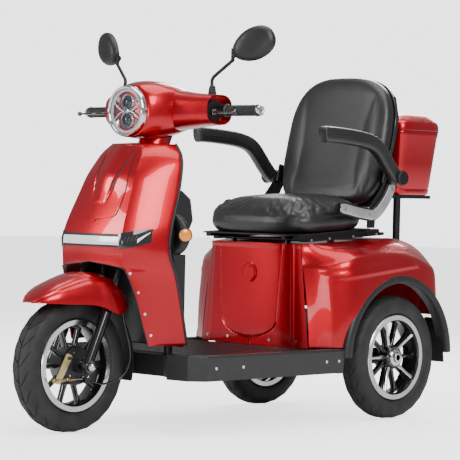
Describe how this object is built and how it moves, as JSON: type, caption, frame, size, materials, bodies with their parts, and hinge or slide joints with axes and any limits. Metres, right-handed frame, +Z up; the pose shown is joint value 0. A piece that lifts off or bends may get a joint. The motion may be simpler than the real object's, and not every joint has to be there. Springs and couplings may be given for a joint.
{
  "type": "mobility scooter",
  "caption": "Three-wheeled seated mobility scooter with steering fork, lifting captain's seat, folding armrests and a lidded top box.",
  "frame": {"origin": "centre of the footprint on the ground", "axes": "+Z up, front towards -Y, +X towards the rider's left"},
  "size_m": [0.783, 1.78, 1.2542],
  "materials": {
    "red_paint": "candy red metallic, clear-coated",
    "black_plastic": "grained black moulding",
    "grey_plastic": "satin dark grey moulding",
    "tyre": "treaded tyre rubber",
    "rim": "black cast wheel with machined faces",
    "black_steel": "black powder coat",
    "chrome": "polished chrome",
    "zinc": "yellow zinc plate",
    "alloy": "satin cast alloy",
    "leather": "smooth black upholstery",
    "rubber": "soft black rubber",
    "lamp_clear": "clear lamp lens",
    "lamp_red": "red lamp lens",
    "lamp_glass": "clear headlight glass",
    "silver": "silver painted cover"
  },
  "bodies": {
    "chassis": {"main_frame": "black_steel", "leg_shield": "red_paint", "front_hatch": "red_paint", "light_bar": "lamp_clear", "signal_lamps": "lamp_clear", "inner_leg_shield": "black_plastic", "side_skirts": "grey_plastic", "floorboard": "black_plastic", "floor_mat": "rubber", "seat_box_front": "red_paint", "rear_fenders": "red_paint", "rear_deck": "red_paint", "arch_trims": "grey_plastic", "panel_screws": "chrome", "tail_lights": "lamp_red", "batteries": "black_plastic", "rack": "black_steel", "top_box": "red_paint"},
    "charge_flap": {"charge_flap": "red_paint"},
    "glovebox_door": {"glovebox_door": "black_plastic"},
    "top_box_lid": {"top_box_lid": "red_paint"},
    "steering": {"fork_stem": "black_steel", "handlebar": "black_steel", "nacelle": "red_paint", "neck_sleeve": "red_paint", "dash_cover": "black_plastic", "headlight_bezel": "chrome", "headlight_reflector": "lamp_clear", "headlight_lens": "lamp_glass", "grip_left": "rubber", "switch_pods": "black_plastic", "mirror_stems": "black_steel"},
    "throttle_grip": {"throttle_grip": "rubber"},
    "brake_lever_left": {"brake_lever_left": "black_steel"},
    "brake_lever_right": {"brake_lever_right": "black_steel"},
    "mirror_head_left": {"mirror_head_left": "black_plastic"},
    "mirror_head_right": {"mirror_head_right": "black_plastic"},
    "ignition_key": {"ignition_key": "black_plastic"},
    "fork_lower": {"fork_lowers": "black_steel", "front_fender": "red_paint", "front_axle": "alloy", "brake_plate": "alloy", "brake_cable": "rubber"},
    "brake_arm": {"brake_arm": "zinc"},
    "front_wheel": {"front_rim": "rim", "front_tyre": "tyre"},
    "rear_swing": {"rear_axle": "black_steel"},
    "rear_wheel_left": {"rear_rim_left": "rim", "rear_tyre_left": "tyre"},
    "rear_wheel_right": {"rear_rim_right": "rim", "rear_tyre_right": "tyre"},
    "seat_base": {"seat_base": "black_steel"},
    "seat_carriage": {"seat_frame": "black_steel", "seat_cushion": "leather", "seat_brackets": "silver"},
    "slide_lever": {"slide_lever": "black_steel"},
    "backrest": {"back_shell": "black_plastic", "back_cushion": "leather"},
    "armrest_left": {"armrest_left": "leather"},
    "armrest_right": {"armrest_right": "leather"}
  },
  "joints": [
    {"name": "steering", "type": "hinge", "parent": "chassis", "child": "steering", "pos_m": [0, -0.655, 0.205], "axis": [0, 0.4147, 0.91], "range_deg": [-32, 32]},
    {"name": "fork_slide", "type": "slide", "parent": "steering", "child": "fork_lower", "axis": [0, 0.4147, 0.91], "range_m": [0, 0.018], "stiffness_N_per_m": 25000, "springref_m": -0.05},
    {"name": "front_wheel_spin", "type": "hinge", "parent": "fork_lower", "child": "front_wheel", "pos_m": [0, -0.685, 0.205], "axis": [1, 0, 0], "continuous": true},
    {"name": "brake_lever_right_pull", "type": "hinge", "parent": "steering", "child": "brake_lever_right", "pos_m": [-0.24, -0.317, 0.986], "axis": [0, 0, -1], "range_deg": [0, 18], "stiffness_Nm_per_rad": 1.2, "springref_deg": -20.05},
    {"name": "brake_arm_turn", "type": "hinge", "parent": "fork_lower", "child": "brake_arm", "pos_m": [0.05, -0.731, 0.231], "axis": [1, 0, 0], "range_deg": [0, 12]},
    {"name": "brake_lever_left_pull", "type": "hinge", "parent": "steering", "child": "brake_lever_left", "pos_m": [0.24, -0.317, 0.986], "axis": [0, 0, 1], "range_deg": [0, 18], "stiffness_Nm_per_rad": 1.2, "springref_deg": -20.05},
    {"name": "throttle_twist", "type": "hinge", "parent": "steering", "child": "throttle_grip", "pos_m": [-0.3, -0.27452, 0.992], "axis": [-0.9967, 0.0812, 0], "range_deg": [0, 60], "stiffness_Nm_per_rad": 0.25, "springref_deg": -22.92},
    {"name": "mirror_left_turn", "type": "hinge", "parent": "steering", "child": "mirror_head_left", "pos_m": [0.258, -0.264, 1.16], "axis": [0, 0, 1], "range_deg": [-14, 14]},
    {"name": "mirror_right_turn", "type": "hinge", "parent": "steering", "child": "mirror_head_right", "pos_m": [-0.258, -0.264, 1.16], "axis": [0, 0, -1], "range_deg": [-14, 14]},
    {"name": "ignition_turn", "type": "hinge", "parent": "steering", "child": "ignition_key", "pos_m": [-0.066, -0.229, 0.962], "axis": [0, -1, 0], "range_deg": [0, 90]},
    {"name": "glovebox_open", "type": "hinge", "parent": "chassis", "child": "glovebox_door", "pos_m": [0, -0.38536, 0.54757], "axis": [-1, 0, 0], "range_deg": [0, 70]},
    {"name": "charge_flap_open", "type": "hinge", "parent": "chassis", "child": "charge_flap", "pos_m": [0, 0.10795, 0.448], "axis": [1, 0, 0], "range_deg": [0, 90]},
    {"name": "top_box_open", "type": "hinge", "parent": "chassis", "child": "top_box_lid", "pos_m": [0, 0.651, 0.97], "axis": [1, 0, 0], "range_deg": [0, 65]},
    {"name": "rear_suspension", "type": "hinge", "parent": "chassis", "child": "rear_swing", "pos_m": [0, 0.295, 0.229], "axis": [1, 0, 0], "range_deg": [0, 4], "stiffness_Nm_per_rad": 900, "springref_deg": -20.05},
    {"name": "rear_wheel_left_spin", "type": "hinge", "parent": "rear_swing", "child": "rear_wheel_left", "pos_m": [0.288, 0.485, 0.205], "axis": [1, 0, 0], "continuous": true},
    {"name": "rear_wheel_right_spin", "type": "hinge", "parent": "rear_swing", "child": "rear_wheel_right", "pos_m": [-0.288, 0.485, 0.205], "axis": [1, 0, 0], "continuous": true},
    {"name": "seat_lift", "type": "hinge", "parent": "chassis", "child": "seat_base", "pos_m": [0, 0.16223, 0.58997], "axis": [1, 0, 0], "range_deg": [0, 26]},
    {"name": "seat_slide", "type": "slide", "parent": "seat_base", "child": "seat_carriage", "axis": [0, -0.9981, -0.062], "range_m": [0, 0.08]},
    {"name": "slide_lever_turn", "type": "hinge", "parent": "seat_carriage", "child": "slide_lever", "pos_m": [0.15, 0.2155, 0.60329], "axis": [0, -0.062, 0.9981], "range_deg": [0, 8], "stiffness_Nm_per_rad": 2, "springref_deg": -17.19},
    {"name": "backrest_fold", "type": "hinge", "parent": "seat_carriage", "child": "backrest", "pos_m": [0, 0.52, 0.8], "axis": [1, 0, 0], "range_deg": [0, 78]},
    {"name": "armrest_left_raise", "type": "hinge", "parent": "seat_carriage", "child": "armrest_left", "pos_m": [0.282, 0.52, 0.8], "axis": [-1, 0, 0], "range_deg": [0, 90]},
    {"name": "armrest_right_raise", "type": "hinge", "parent": "seat_carriage", "child": "armrest_right", "pos_m": [-0.282, 0.52, 0.8], "axis": [-1, 0, 0], "range_deg": [0, 90]}
  ],
  "couplings": [
    {"joint": "brake_arm_turn", "follows": "brake_lever_right_pull", "ratio": 0.66667}
  ]
}
